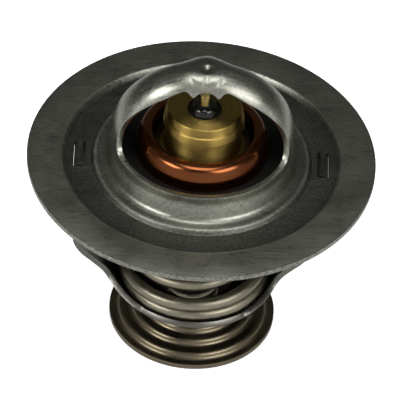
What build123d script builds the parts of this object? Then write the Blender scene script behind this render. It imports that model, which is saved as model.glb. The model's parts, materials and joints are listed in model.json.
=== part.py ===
"""Engine thermostat: a wax element that opens a main valve and closes a bypass valve.

Millimetres, +Z up along the axis of the valve, origin on that axis in the plane of
the flange's upper face. The bridge spans along X, and the windows open along Y.
"""

import os
from math import asin, cos, degrees, pi, radians, sin, tan

from build123d import *

os.makedirs("parts", exist_ok=True)

# ---- driving sizes: flange and bridge, one steel pressing
BODY_SHEET = 1.0
FLANGE_RADIUS = 32.0
RING_INNER_RADIUS = 25.6
RECESS_DEPTH = 1.0
STEP_RUN = 0.7
SHOULDER_RADIUS = 19.8
SHOULDER_DROP = 0.15
COLLAR_RADIUS = 16.5
COLLAR_FLARE = 1.3
COLLAR_FLARE_HEIGHT = 3.2
RIM_HEIGHT = 4.6
SPRINGING_HEIGHT = 6.2
BRIDGE_HALF_WIDTH = 3.9
BRIDGE_CROWN_RADIUS = 4.6
BRIDGE_FOOT_HALF_WIDTH = 5.3
BRIDGE_WAIST_HALF_WIDTH = 3.4
BRIDGE_PEAK_HALF_WIDTH = 4.7
BRIDGE_PEAK_CROWN_RADIUS = 8.4
BRIDGE_LIP_HALF_WIDTH = 3.3
BRIDGE_LIP_CROWN_RADIUS = 3.4
SOCKET_BOTTOM_RADIUS = 2.3
SOCKET_NECK_RADIUS = 3.35
SOCKET_DEPTH = 3.0
SOCKET_DRILL_POINT = 0.5
SOCKET_ARCH_RADIUS = 1.7
DIMPLE_RADIUS = 1.2
SLOT_CENTRE_RADIUS = 22.4
SLOT_LENGTH = 6.8
SLOT_WIDTH = 2.0

# ---- driving sizes: lower frame, one steel pressing
FRAME_SHEET = 1.0
TAB_DEPTH = 0.3
SEAT_HEIGHT = -29.3
SEAT_HOLE_MARGIN = 0.8
SEAT_CORNER_RADIUS = 13.9
LIP_RADIUS = 15.4
LIP_RISE = 1.0
LIP_HEIGHT = 1.2
ARM_FOOT_RADIUS = 16.7
ARM_FOOT_RISE = 4.4
ARM_KNEE_RADIUS = 19.6
ARM_KNEE_RISE = 7.7
ARM_SLOPE_RISE = 13.9
ARM_HALF_WIDTH = 4.6
ARM_ROOT_HALF_WIDTH = 11.2
ARM_ROOT_RISE = 1.2
ARM_NECK_RISE = 3.4

# ---- driving sizes: element
PIN_RADIUS = 1.25
PIN_CHAMFER = 0.3
PIN_TIP_HEIGHT = -16.0
SOCKET_MOUTH_HEIGHT = 16.0
GUIDE_TOP_HEIGHT = 12.7
GUIDE_TOP_RADIUS = 6.7
GUIDE_TOP_DROP = 1.7
GUIDE_STEP_RADIUS = 7.1
GUIDE_STEP_DROP = 3.0
GUIDE_RADIUS = 7.8
GUIDE_FLANGE_RADIUS = 8.2
GUIDE_FLANGE_THICKNESS = 1.4
SEAL_RADIUS = 3.1
SEAL_THICKNESS = 1.0
CAP_RIM_HEIGHT = 0.5
CAP_DOME_HEIGHT = 1.4
CUP_RADIUS = 6.9
CUP_WALL = 0.8
CUP_BOTTOM_HEIGHT = -24.0
SLEEVE_RADIUS = 2.9
SLEEVE_WALL_END = 1.4

# ---- driving sizes: main valve and its spring
DISH_SHEET = 0.9
DISH_FLOOR_HEIGHT = 1.1
DISH_CREST_HEIGHT = 6.9
DISH_CREST_ROUND = 0.6
DISH_SHOULDER_HEIGHT = 5.6
DISH_SLOPE_END_HEIGHT = 4.0
DISH_RIM_HEIGHT = 1.6
DISH_EDGE_MARGIN = 1.7
DISH_LAND_WIDTH = 2.6
SEAL_RING_THICKNESS = 2.1
SEAL_RING_TOP = 0.6
SEAL_RING_GRIP = 1.2
SPRING_WIRE_RADIUS = 1.1
SPRING_SEAT_COIL_RADIUS = 13.2
SPRING_TOP_COIL_RADIUS = 8.7

# ---- driving sizes: bypass valve
STEM_RADIUS = 1.75
STEM_CHAMFER = 0.4
STEM_HEAD_RADIUS = 4.0
STEM_HEAD_THICKNESS = 1.2
SPRING_WASHER_RADIUS = 5.4
SPRING_WASHER_THICKNESS = 0.8
BYPASS_SHEET = 1.05
BYPASS_CROWN_HEIGHT = -35.5
BYPASS_STEP = 1.15
BYPASS_CROWN_RADIUS = 9.5
BYPASS_MIDDLE_RADIUS = 11.6
BYPASS_OUTER_RADIUS = 14.0
BYPASS_RIM_RADIUS = 15.65
BYPASS_HUB_HEIGHT = 1.3
BYPASS_WIRE_RADIUS = 0.55
BYPASS_COIL_RADIUS = 4.2
CLIP_RADIUS = 4.2
CLIP_THICKNESS = 0.8

# ---- clearances
RUNNING_CLEARANCE = 0.05
SEATING_CLEARANCE = 0.3
SLOT_CLEARANCE = 0.2
PART_CLEARANCE = 0.1

# ---- bends
FINE_BEND = 0.5
BEND_FLAT_TURN = 40
CORNER_SHARE = 0.48
TIGHT_BEND = 0.5
BEND = 0.8
WIDE_BEND = 1.8

# ---- flats of what is round in two ways, and of the coils of the springs
BRIDGE_SPANS = 18
BRIDGE_FLATS = 3
MAIN_RUNS_A_TURN = 16
MAIN_WIRE_SIDES = 6
BYPASS_RUNS_A_TURN = 12
BYPASS_WIRE_SIDES = 6


def turned(*points):
    """Solid of revolution about Z from a closed outline of (radius, height) points."""
    outline = Polyline(*points, close=True)
    return revolve(Plane.XZ * make_face(outline), Axis.Z)


def turned_face(face):
    """Solid of revolution about Z from a face drawn in radius and height."""
    return revolve(Plane.XZ * face, Axis.Z)


def eased_edges(points, bends):
    """Edges through points with a bend at each corner between them.

    Each bend is kept to the length of the sides beside it. It runs in flats along its
    arc, in a single one up to FINE_BEND, and zero is sharp.
    """
    vectors = [Vector(*point) for point in points]
    corners = [vectors[0]]
    for before, corner, after, bend in zip(vectors, vectors[1:], vectors[2:], bends):
        if bend == 0:
            corners.append(corner)
            continue
        way_in = (corner - before).normalized()
        way_out = (after - corner).normalized()
        turn = way_in.get_angle(way_out)
        half_turn = radians(turn) / 2
        shorter = min((corner - before).length, (after - corner).length)
        reach = min(bend * tan(half_turn), CORNER_SHARE * shorter)
        centre_way = (way_out - way_in).normalized()
        arc_radius = reach / tan(half_turn)
        centre = corner + centre_way * (arc_radius / cos(half_turn))
        flats = max(round(turn / BEND_FLAT_TURN), 1) if bend > FINE_BEND else 1
        for index in range(flats + 1):
            angle = half_turn * (2 * index / flats - 1)
            along = (way_in + way_out).normalized() * sin(angle)
            corners.append(centre + (along - centre_way * cos(angle)) * arc_radius)
    corners.append(vectors[-1])
    return [Line(start, end) for start, end in zip(corners, corners[1:])]


def sheet_section(points, bends, thickness):
    """Section of a pressed sheet: the points run along one surface, bends are its radii.

    The other surface lies at a positive thickness to the left of the way the points run
    and at a negative one to the right. Its wider bends share their centres with the first.
    """
    vectors = [Vector(*point) for point in points]
    ways = [(after - before).normalized() for before, after in zip(vectors, vectors[1:])]
    lefts = [Vector(-way.Y, way.X) for way in ways]
    other_points = [vectors[0] + lefts[0] * thickness]
    other_bends = []
    for corner, before, after, bend in zip(vectors[1:], lefts, lefts[1:], bends):
        other_points.append(corner + (before + after) * (thickness / (1 + before.dot(after))))
        turn = before.cross(after).Z
        concentric = bend - thickness if turn > 0 else bend + thickness
        other_bends.append(max(concentric, 0) if bend > FINE_BEND else 0)
    other_points.append(vectors[-1] + lefts[-1] * thickness)
    ends = [Line(vectors[0], other_points[0]), Line(vectors[-1], other_points[-1])]
    return make_face(eased_edges(points, bends) + eased_edges(other_points, other_bends) + ends)


def station_value(stations, turn, column):
    """Value at a turn of a coil, run straight between the stations around it."""
    for lower, upper in zip(stations, stations[1:]):
        if turn <= upper[0]:
            share = (turn - lower[0]) / (upper[0] - lower[0])
            return lower[column] + share * (upper[column] - lower[column])
    return stations[-1][column]


def coil_spring(stations, wire_radius, wire_sides, runs_a_turn):
    """Wire wound through stations of (turn, coil radius, height), flat-sided and mitred."""
    corners = []
    for index in range(round(stations[-1][0] * runs_a_turn) + 1):
        turn = index / runs_a_turn
        coil_radius = station_value(stations, turn, 1)
        height = station_value(stations, turn, 2)
        angle = 2 * pi * turn
        corners.append((coil_radius * cos(angle), coil_radius * sin(angle), height))
    path = Polyline(*corners)
    section = RegularPolygon(radius=wire_radius, side_count=wire_sides)
    start = Plane(origin=path @ 0, z_dir=path % 0)
    return sweep(start * section, path=path, transition=Transition.RIGHT)


# ------------------------------------------------------------------ flange and bridge
def bridge_side(crown_radius, half_width, thickness):
    """Outer and inner points of half a section, from its crest to its edge."""
    half_angle = asin(half_width / crown_radius)
    outer = []
    inner = []
    for index in range(BRIDGE_FLATS + 1):
        angle = half_angle * index / BRIDGE_FLATS
        for points, radius in ((outer, crown_radius), (inner, crown_radius - thickness)):
            points.append((radius * sin(angle), radius * cos(angle) - crown_radius))
    return outer, inner


def bridge_section(lift, front_crown, front_half, back_crown, back_half):
    """Crowned strip section of the bridge at an angle of lift from its foot."""
    front, front_inner = bridge_side(front_crown, front_half, BODY_SHEET)
    back, back_inner = bridge_side(back_crown, back_half, BODY_SHEET)
    outline = front[::-1] + [(-x, y) for x, y in back[1:]]
    outline += [(-x, y) for x, y in back_inner[::-1]] + front_inner[1:]
    outward = Vector(cos(radians(lift)), 0, sin(radians(lift)))
    crest = Vector(0, 0, SPRINGING_HEIGHT) + outward * COLLAR_RADIUS
    frontward = Vector(0, -1, 0)
    place = Plane(origin=crest, x_dir=frontward, z_dir=frontward.cross(outward))
    return place * make_face(Polyline(*outline, close=True))


def make_bridge():
    """Arch from the collar's curve to a crowned channel, a waist, and a peak and a lip."""
    foot = (COLLAR_RADIUS, BRIDGE_FOOT_HALF_WIDTH)
    spread = (0.58 * COLLAR_RADIUS, BRIDGE_HALF_WIDTH + 0.4)
    leg = (1.2 * BRIDGE_CROWN_RADIUS, BRIDGE_HALF_WIDTH)
    channel = (BRIDGE_CROWN_RADIUS, BRIDGE_HALF_WIDTH)
    waist = (BRIDGE_CROWN_RADIUS, BRIDGE_WAIST_HALF_WIDTH)
    lip = (BRIDGE_LIP_CROWN_RADIUS, BRIDGE_LIP_HALF_WIDTH)
    peak = (BRIDGE_PEAK_CROWN_RADIUS, BRIDGE_PEAK_HALF_WIDTH)
    stations = [
        (0, *foot, *foot),
        (15, *spread, *spread),
        (35, *leg, *leg),
        (55, *channel, *channel),
        (70, *waist, *waist),
        (90, *lip, *peak),
    ]
    sections = []
    for index in range(BRIDGE_SPANS + 1):
        lift = 180 * index / BRIDGE_SPANS
        from_foot = min(lift, 180 - lift)
        sizes = [station_value(stations, from_foot, column) for column in (1, 2, 3, 4)]
        sections.append(bridge_section(lift, *sizes))
    return loft(sections, ruled=True)


def make_flange():
    recess = -RECESS_DEPTH
    shoulder = -SHOULDER_DROP
    surface = [
        (FLANGE_RADIUS, 0),
        (RING_INNER_RADIUS, 0),
        (RING_INNER_RADIUS - STEP_RUN, recess),
        (SHOULDER_RADIUS + STEP_RUN, recess),
        (SHOULDER_RADIUS, shoulder),
        (COLLAR_RADIUS + COLLAR_FLARE, shoulder),
        (COLLAR_RADIUS, COLLAR_FLARE_HEIGHT),
        (COLLAR_RADIUS, SPRINGING_HEIGHT),
    ]
    bends = [TIGHT_BEND, 0, 0, TIGHT_BEND, WIDE_BEND, 0]
    body = turned_face(sheet_section(surface, bends, BODY_SHEET))

    # the collar is cut away between the feet of the bridge down to the rim of the throat
    foot_angle = degrees(asin(BRIDGE_FOOT_HALF_WIDTH / COLLAR_RADIUS))
    window_height = SPRINGING_HEIGHT - RIM_HEIGHT + 1
    for middle_angle in (90, 270):
        start = middle_angle - 90 + foot_angle
        window = CenterArc((0, 0), COLLAR_RADIUS + 1, start, 180 - 2 * foot_angle)
        sides = [Line((0, 0), window @ 0), Line((0, 0), window @ 1)]
        sector = extrude(make_face([window] + sides), window_height)
        body -= Pos(0, 0, RIM_HEIGHT) * sector
    corners = [
        edge
        for edge in body.edges()
        if abs(edge.length - BODY_SHEET) < 0.01
        and abs(edge.center().Z - RIM_HEIGHT) < 0.01
    ]
    body = fillet(corners, 0.9 * (SPRINGING_HEIGHT - RIM_HEIGHT))
    body += make_bridge()

    # socket for the pin under the middle of the bridge, and the dimple of its punch above
    crest = SPRINGING_HEIGHT + COLLAR_RADIUS
    under = crest - 1.2 * BODY_SHEET
    socket = turned(
        (0, SOCKET_MOUTH_HEIGHT),
        (SOCKET_BOTTOM_RADIUS, SOCKET_MOUTH_HEIGHT),
        (SOCKET_NECK_RADIUS, SOCKET_MOUTH_HEIGHT + 0.7 * (under - SOCKET_MOUTH_HEIGHT)),
        (0, under),
    )
    arch = Rot(90, 0, 0) * Cylinder(SOCKET_ARCH_RADIUS, 4 * SOCKET_NECK_RADIUS)
    body += socket - Pos(0, 0, SOCKET_MOUTH_HEIGHT + 0.25 * SOCKET_ARCH_RADIUS) * arch
    hole_radius = PIN_RADIUS + RUNNING_CLEARANCE
    hole_end = SOCKET_MOUTH_HEIGHT + SOCKET_DEPTH
    body -= turned(
        (0, SOCKET_MOUTH_HEIGHT - 1),
        (hole_radius, SOCKET_MOUTH_HEIGHT - 1),
        (hole_radius, hole_end - SOCKET_DRILL_POINT),
        (0, hole_end),
    )
    dimple_depth = 0.6 * DIMPLE_RADIUS
    body -= turned(
        (0, crest - dimple_depth),
        (0.7 * DIMPLE_RADIUS, crest - 0.5 * dimple_depth),
        (1.2 * DIMPLE_RADIUS, crest + dimple_depth),
        (0, crest + dimple_depth),
    )

    slot = extrude(RectangleRounded(SLOT_WIDTH, SLOT_LENGTH, TIGHT_BEND), 2, both=True)
    for side in (-1, 1):
        body -= Pos(side * SLOT_CENTRE_RADIUS, 0, recess) * slot
    return body


# ------------------------------------------------------------------ lower frame
def make_lower_frame():
    """Spring seat with a low lip, and two arms that grow out of the lip to the slots."""
    floor_under = SEAT_HEIGHT - FRAME_SHEET
    arm_radius = SLOT_CENTRE_RADIUS + FRAME_SHEET / 2
    shoulder = -RECESS_DEPTH - BODY_SHEET
    tab_top = -TAB_DEPTH
    hub_hole = CUP_RADIUS + SEAT_HOLE_MARGIN
    surface = [
        (hub_hole, floor_under),
        (SEAT_CORNER_RADIUS, floor_under),
        (LIP_RADIUS, floor_under + LIP_RISE),
        (ARM_FOOT_RADIUS, floor_under + ARM_FOOT_RISE),
        (ARM_KNEE_RADIUS, floor_under + ARM_KNEE_RISE),
        (arm_radius, floor_under + ARM_SLOPE_RISE),
        (arm_radius, tab_top),
    ]
    bends = [BEND, BEND, BEND, 4 * BEND, 4 * BEND]
    shell = turned_face(sheet_section(surface, bends, FRAME_SHEET))

    # outline of the arms from the side: tab, arm, and the root that spreads into the lip
    tab_half = SLOT_LENGTH / 2 - SLOT_CLEARANCE
    half = FilletPolyline(
        (tab_half, tab_top + 1),
        (tab_half, shoulder),
        (ARM_HALF_WIDTH, shoulder),
        (ARM_HALF_WIDTH, floor_under + ARM_NECK_RISE),
        (ARM_ROOT_HALF_WIDTH, floor_under + ARM_ROOT_RISE),
        (ARM_ROOT_HALF_WIDTH, floor_under - 1),
        radius=[0.01, 0.4, 3.0, 1.6],
    )
    closing = Polyline(half @ 1, (0, floor_under - 1), (0, tab_top + 1), half @ 0)
    right = extrude(Plane.YZ * make_face(half.edges() + closing.edges()), 2 * arm_radius, both=True)
    upper = (Align.CENTER, Align.CENTER, Align.MAX)
    seat = Cylinder(LIP_RADIUS, LIP_HEIGHT + 2 * FRAME_SHEET, align=upper)
    seat = Pos(0, 0, SEAT_HEIGHT + LIP_HEIGHT) * seat
    return shell & (seat + right + mirror(right, about=Plane.XZ))


# ------------------------------------------------------------------ element
GUIDE_UNDER = DISH_FLOOR_HEIGHT + CUP_WALL
GUIDE_FLANGE_TOP = GUIDE_UNDER + GUIDE_FLANGE_THICKNESS
GUIDE_NOSE_BOTTOM = GUIDE_UNDER - 1.3
CUP_BORE = CUP_RADIUS - CUP_WALL
CUP_RIM_RADIUS = GUIDE_FLANGE_RADIUS + PART_CLEARANCE + CUP_WALL
PIN_BORE = PIN_RADIUS + RUNNING_CLEARANCE
SEAL_POCKET_BOTTOM = GUIDE_TOP_HEIGHT - 2.1
SLEEVE_FLANGE_TOP = GUIDE_NOSE_BOTTOM - 1.0
SLEEVE_FLANGE_BOTTOM = SLEEVE_FLANGE_TOP - 1.5
SLEEVE_END = PIN_TIP_HEIGHT - SLEEVE_WALL_END


def make_piston_pin():
    top = SOCKET_MOUTH_HEIGHT + SOCKET_DEPTH - 1.2 * SOCKET_DRILL_POINT
    return turned(
        (0, PIN_TIP_HEIGHT),
        (PIN_RADIUS - 2 * PIN_CHAMFER, PIN_TIP_HEIGHT),
        (PIN_RADIUS, PIN_TIP_HEIGHT + 2 * PIN_CHAMFER),
        (PIN_RADIUS, top - PIN_CHAMFER),
        (PIN_RADIUS - PIN_CHAMFER, top),
        (0, top),
    )


def make_pin_guide():
    pocket = SEAL_RADIUS + RUNNING_CLEARANCE
    nose = CUP_BORE - PART_CLEARANCE
    return turned(
        (PIN_BORE, GUIDE_NOSE_BOTTOM),
        (nose, GUIDE_NOSE_BOTTOM),
        (nose, GUIDE_UNDER),
        (GUIDE_FLANGE_RADIUS, GUIDE_UNDER),
        (GUIDE_FLANGE_RADIUS, GUIDE_FLANGE_TOP),
        (GUIDE_RADIUS, GUIDE_FLANGE_TOP),
        (GUIDE_RADIUS, GUIDE_TOP_HEIGHT - 1.1 * GUIDE_STEP_DROP),
        (GUIDE_STEP_RADIUS, GUIDE_TOP_HEIGHT - GUIDE_STEP_DROP),
        (GUIDE_STEP_RADIUS, GUIDE_TOP_HEIGHT - 1.1 * GUIDE_TOP_DROP),
        (GUIDE_TOP_RADIUS, GUIDE_TOP_HEIGHT - GUIDE_TOP_DROP),
        (GUIDE_TOP_RADIUS, GUIDE_TOP_HEIGHT),
        (pocket, GUIDE_TOP_HEIGHT - 0.2 * SEAL_RADIUS),
        (pocket, SEAL_POCKET_BOTTOM),
        (PIN_BORE, SEAL_POCKET_BOTTOM),
    )


def make_wiper_seal():
    return turned(
        (PIN_BORE, SEAL_POCKET_BOTTOM),
        (SEAL_RADIUS, SEAL_POCKET_BOTTOM),
        (SEAL_RADIUS, SEAL_POCKET_BOTTOM + SEAL_THICKNESS),
        (PIN_BORE, SEAL_POCKET_BOTTOM + SEAL_THICKNESS),
    )


def make_seal_cap():
    """Domed washer pressed over the wiper seal."""
    under = SEAL_POCKET_BOTTOM + SEAL_THICKNESS
    eye = PIN_BORE + PART_CLEARANCE
    return turned(
        (eye, under),
        (SEAL_RADIUS, under),
        (SEAL_RADIUS, under + CAP_RIM_HEIGHT),
        (0.8 * SEAL_RADIUS, under + 0.8 * CAP_DOME_HEIGHT),
        (eye, under + CAP_DOME_HEIGHT),
    )


def make_backup_ring():
    ring_radius = CUP_BORE - PART_CLEARANCE
    return turned(
        (PIN_BORE, SLEEVE_FLANGE_TOP),
        (ring_radius, SLEEVE_FLANGE_TOP),
        (ring_radius, GUIDE_NOSE_BOTTOM),
        (PIN_BORE, GUIDE_NOSE_BOTTOM),
    )


def make_rubber_sleeve():
    flange_radius = CUP_BORE - PART_CLEARANCE
    return turned(
        (0, SLEEVE_END),
        (SLEEVE_RADIUS, SLEEVE_END),
        (SLEEVE_RADIUS, SLEEVE_FLANGE_BOTTOM),
        (flange_radius, SLEEVE_FLANGE_BOTTOM),
        (flange_radius, SLEEVE_FLANGE_TOP),
        (PIN_BORE, SLEEVE_FLANGE_TOP),
        (PIN_BORE, PIN_TIP_HEIGHT - RUNNING_CLEARANCE),
        (0, PIN_TIP_HEIGHT - RUNNING_CLEARANCE),
    )


def make_wax_charge():
    bottom = CUP_BOTTOM_HEIGHT + CUP_WALL
    outer = CUP_BORE - PART_CLEARANCE
    return turned(
        (0, bottom),
        (outer, bottom),
        (outer, SLEEVE_FLANGE_BOTTOM),
        (SLEEVE_RADIUS, SLEEVE_FLANGE_BOTTOM),
        (SLEEVE_RADIUS, SLEEVE_END),
        (0, SLEEVE_END),
    )


def make_wax_cup():
    """Drawn cup whose flange holds the guide, crimped over the guide's own flange."""
    surface = [
        (0, CUP_BOTTOM_HEIGHT),
        (CUP_RADIUS, CUP_BOTTOM_HEIGHT),
        (CUP_RADIUS, DISH_FLOOR_HEIGHT),
        (CUP_RIM_RADIUS, DISH_FLOOR_HEIGHT),
        (CUP_RIM_RADIUS, GUIDE_FLANGE_TOP + CUP_WALL),
        (GUIDE_RADIUS + PART_CLEARANCE, GUIDE_FLANGE_TOP + CUP_WALL),
    ]
    bends = [TIGHT_BEND, 0, 0, 0]
    return turned_face(sheet_section(surface, bends, CUP_WALL))


# ------------------------------------------------------------------ main valve
DISH_INNER_RADIUS = CUP_RIM_RADIUS + PART_CLEARANCE
DISH_RIM_RADIUS = COLLAR_RADIUS - DISH_EDGE_MARGIN
DISH_OUTER_RADIUS = DISH_RIM_RADIUS - DISH_LAND_WIDTH


def dish_section():
    """Section of the dish: floor, wall, crest, domed slope, and the land for the seal."""
    hole = CUP_RADIUS + 2 * PART_CLEARANCE
    shoulder = DISH_INNER_RADIUS + 0.7 * (DISH_OUTER_RADIUS - DISH_INNER_RADIUS)
    surface = [
        (hole, DISH_FLOOR_HEIGHT),
        (DISH_INNER_RADIUS, DISH_FLOOR_HEIGHT),
        (DISH_INNER_RADIUS, DISH_CREST_HEIGHT),
        (shoulder, DISH_SHOULDER_HEIGHT),
        (DISH_OUTER_RADIUS, DISH_SLOPE_END_HEIGHT),
        (DISH_OUTER_RADIUS, DISH_RIM_HEIGHT),
        (DISH_RIM_RADIUS, DISH_RIM_HEIGHT),
    ]
    bends = [0, DISH_CREST_ROUND, 0, 0, 0]
    return sheet_section(surface, bends, -DISH_SHEET)


def make_valve_dish():
    return turned_face(dish_section())


def throat_radius(height):
    """Inner radius of the flared throat that the main valve closes."""
    lean = COLLAR_FLARE / (COLLAR_FLARE_HEIGHT + SHOULDER_DROP)
    inside = COLLAR_RADIUS + COLLAR_FLARE - 1.07 * BODY_SHEET
    return inside - lean * (height + SHOULDER_DROP)


def make_valve_seal():
    """Rubber ring moulded over the land of the dish and round its edge, facing the throat."""
    top = DISH_RIM_HEIGHT + SEAL_RING_TOP
    bottom = top - SEAL_RING_THICKNESS
    chamfer = 0.25 * SEAL_RING_THICKNESS
    section = Polyline(
        (DISH_RIM_RADIUS - SEAL_RING_GRIP, bottom),
        (throat_radius(bottom) - 2 * SEATING_CLEARANCE, bottom),
        (throat_radius(top) - SEATING_CLEARANCE, top - chamfer),
        (throat_radius(top) - SEATING_CLEARANCE - chamfer, top),
        (DISH_OUTER_RADIUS, top),
        (DISH_OUTER_RADIUS, DISH_RIM_HEIGHT),
        (DISH_RIM_RADIUS - SEAL_RING_GRIP, DISH_RIM_HEIGHT),
        close=True,
    )
    return turned_face(make_face(section) - dish_section())


def make_main_spring():
    seat = SEAT_HEIGHT + SPRING_WIRE_RADIUS
    top = DISH_FLOOR_HEIGHT - DISH_SHEET - SPRING_WIRE_RADIUS
    wire = 2 * SPRING_WIRE_RADIUS
    narrow = SPRING_TOP_COIL_RADIUS
    wide = SPRING_SEAT_COIL_RADIUS
    stations = [
        (0, wide, seat),
        (0.75, wide, seat),
        (1.75, wide, seat + 1.1 * wire),
        (2.75, wide - 3.0, seat + 2.2 * wire),
        (3.75, narrow + 0.3, seat + 4.8 * wire),
        (5.25, narrow, top - 1.1 * wire),
        (5.75, narrow, top),
        (6.5, narrow, top),
    ]
    return coil_spring(stations, SPRING_WIRE_RADIUS, MAIN_WIRE_SIDES, MAIN_RUNS_A_TURN)


# ------------------------------------------------------------------ bypass valve
STEM_HEAD_UNDER = CUP_BOTTOM_HEIGHT - STEM_HEAD_THICKNESS
WASHER_UNDER = STEM_HEAD_UNDER - SPRING_WASHER_THICKNESS
CLIP_TOP = BYPASS_CROWN_HEIGHT - BYPASS_SHEET
CLIP_BOTTOM = CLIP_TOP - CLIP_THICKNESS
STEM_END = CLIP_BOTTOM - 1.4
GROOVE_RADIUS = 0.7 * STEM_RADIUS


def make_bypass_stem():
    return turned(
        (0, CUP_BOTTOM_HEIGHT),
        (STEM_HEAD_RADIUS, CUP_BOTTOM_HEIGHT),
        (STEM_HEAD_RADIUS, STEM_HEAD_UNDER),
        (STEM_RADIUS, STEM_HEAD_UNDER),
        (STEM_RADIUS, CLIP_TOP),
        (GROOVE_RADIUS, CLIP_TOP),
        (GROOVE_RADIUS, CLIP_BOTTOM),
        (STEM_RADIUS, CLIP_BOTTOM),
        (STEM_RADIUS, STEM_END + STEM_CHAMFER),
        (STEM_RADIUS - STEM_CHAMFER, STEM_END),
        (0, STEM_END),
    )


def make_bypass_washer():
    hole = STEM_RADIUS + PART_CLEARANCE
    return turned(
        (hole, WASHER_UNDER),
        (SPRING_WASHER_RADIUS, WASHER_UNDER),
        (SPRING_WASHER_RADIUS, STEM_HEAD_UNDER),
        (hole, STEM_HEAD_UNDER),
    )


def make_bypass_valve():
    """Stepped disc with a drawn hub that slides on the stem."""
    hub = STEM_RADIUS + RUNNING_CLEARANCE + BYPASS_SHEET
    middle = BYPASS_CROWN_HEIGHT - BYPASS_STEP
    outer = middle - BYPASS_STEP
    rim = outer - BYPASS_STEP
    surface = [
        (hub, BYPASS_CROWN_HEIGHT + BYPASS_HUB_HEIGHT),
        (hub, BYPASS_CROWN_HEIGHT),
        (BYPASS_CROWN_RADIUS, BYPASS_CROWN_HEIGHT),
        (BYPASS_CROWN_RADIUS, middle),
        (BYPASS_MIDDLE_RADIUS, middle),
        (BYPASS_MIDDLE_RADIUS, outer),
        (BYPASS_OUTER_RADIUS, outer),
        (BYPASS_OUTER_RADIUS, rim),
        (BYPASS_RIM_RADIUS, rim),
    ]
    bends = [0, TIGHT_BEND, 0, TIGHT_BEND, 0, TIGHT_BEND, 0]
    return turned_face(sheet_section(surface, bends, -BYPASS_SHEET))


def make_bypass_clip():
    """Open retaining ring in the groove of the stem."""
    ring = Cylinder(CLIP_RADIUS, CLIP_THICKNESS) - Cylinder(GROOVE_RADIUS, CLIP_THICKNESS)
    mouth = Box(2 * CLIP_RADIUS, 1.8 * GROOVE_RADIUS, CLIP_THICKNESS)
    ring -= Pos(CLIP_RADIUS, 0, 0) * mouth
    return Pos(0, 0, (CLIP_TOP + CLIP_BOTTOM) / 2) * ring


def make_bypass_spring():
    bottom = BYPASS_CROWN_HEIGHT + BYPASS_WIRE_RADIUS
    top = WASHER_UNDER - BYPASS_WIRE_RADIUS
    wire = 2 * BYPASS_WIRE_RADIUS
    stations = [
        (0, BYPASS_COIL_RADIUS, bottom),
        (0.75, BYPASS_COIL_RADIUS, bottom),
        (1.25, BYPASS_COIL_RADIUS, bottom + 1.2 * wire),
        (3.25, BYPASS_COIL_RADIUS, top - 1.2 * wire),
        (3.75, BYPASS_COIL_RADIUS, top),
        (4.5, BYPASS_COIL_RADIUS, top),
    ]
    return coil_spring(stations, BYPASS_WIRE_RADIUS, BYPASS_WIRE_SIDES, BYPASS_RUNS_A_TURN)


PARTS = {
    "flange": make_flange,
    "lower_frame": make_lower_frame,
    "piston_pin": make_piston_pin,
    "main_spring": make_main_spring,
    "pin_guide": make_pin_guide,
    "seal_cap": make_seal_cap,
    "wiper_seal": make_wiper_seal,
    "backup_ring": make_backup_ring,
    "rubber_sleeve": make_rubber_sleeve,
    "wax_charge": make_wax_charge,
    "wax_cup": make_wax_cup,
    "valve_dish": make_valve_dish,
    "valve_seal": make_valve_seal,
    "bypass_stem": make_bypass_stem,
    "bypass_washer": make_bypass_washer,
    "bypass_spring": make_bypass_spring,
    "bypass_valve": make_bypass_valve,
    "bypass_clip": make_bypass_clip,
}

for part_name, make_part in PARTS.items():
    export_step(make_part(), f"parts/{part_name}.step")
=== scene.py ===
"""Engine thermostat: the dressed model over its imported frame.

Sizes are in millimetres and become metres as vertices are made. The frame has Z up the
axis of the valve, X along the bridge, and its origin in the flange's upper face.
"""

import json
from math import asin, atan2, cos, degrees, exp, hypot, pi, radians, sin, sqrt, tan

import bmesh
import bpy
from mathutils import Matrix, Vector


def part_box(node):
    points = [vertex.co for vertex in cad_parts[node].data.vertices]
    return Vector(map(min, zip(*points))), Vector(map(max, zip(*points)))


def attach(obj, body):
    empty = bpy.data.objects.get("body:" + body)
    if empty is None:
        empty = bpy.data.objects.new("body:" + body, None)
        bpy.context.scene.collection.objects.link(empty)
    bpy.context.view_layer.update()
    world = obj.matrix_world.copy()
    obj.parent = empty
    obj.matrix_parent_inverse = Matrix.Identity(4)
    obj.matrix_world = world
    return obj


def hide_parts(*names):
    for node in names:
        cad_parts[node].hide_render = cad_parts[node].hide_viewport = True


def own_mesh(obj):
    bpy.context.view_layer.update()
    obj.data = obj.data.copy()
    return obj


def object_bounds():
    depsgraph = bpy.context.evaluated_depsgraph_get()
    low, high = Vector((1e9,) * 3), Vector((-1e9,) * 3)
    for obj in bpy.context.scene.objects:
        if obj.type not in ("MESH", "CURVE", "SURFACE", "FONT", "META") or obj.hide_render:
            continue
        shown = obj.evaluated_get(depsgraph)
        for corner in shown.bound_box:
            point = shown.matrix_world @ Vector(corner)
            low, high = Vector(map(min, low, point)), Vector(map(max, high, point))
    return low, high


bl_info = {
    "name": "Engine thermostat",
    "version": (1, 0, 0),
    "blender": (4, 5, 0),
    "location": "3D View > Sidebar > Thermostat",
    "description": "Builds the pieces of a wax element coolant valve and its studio",
    "category": "Object",
}

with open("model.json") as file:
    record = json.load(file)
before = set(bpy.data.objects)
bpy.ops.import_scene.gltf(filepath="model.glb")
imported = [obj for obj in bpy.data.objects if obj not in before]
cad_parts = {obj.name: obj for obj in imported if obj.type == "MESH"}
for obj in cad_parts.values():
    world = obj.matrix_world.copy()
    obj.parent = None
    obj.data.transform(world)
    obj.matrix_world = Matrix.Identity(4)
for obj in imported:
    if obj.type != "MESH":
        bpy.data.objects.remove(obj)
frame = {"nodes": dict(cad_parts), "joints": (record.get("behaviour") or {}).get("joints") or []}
CAD_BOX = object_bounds()
MM = 0.001
RING_STEPS = 240
EDGE_ROUND = 0.14
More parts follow.
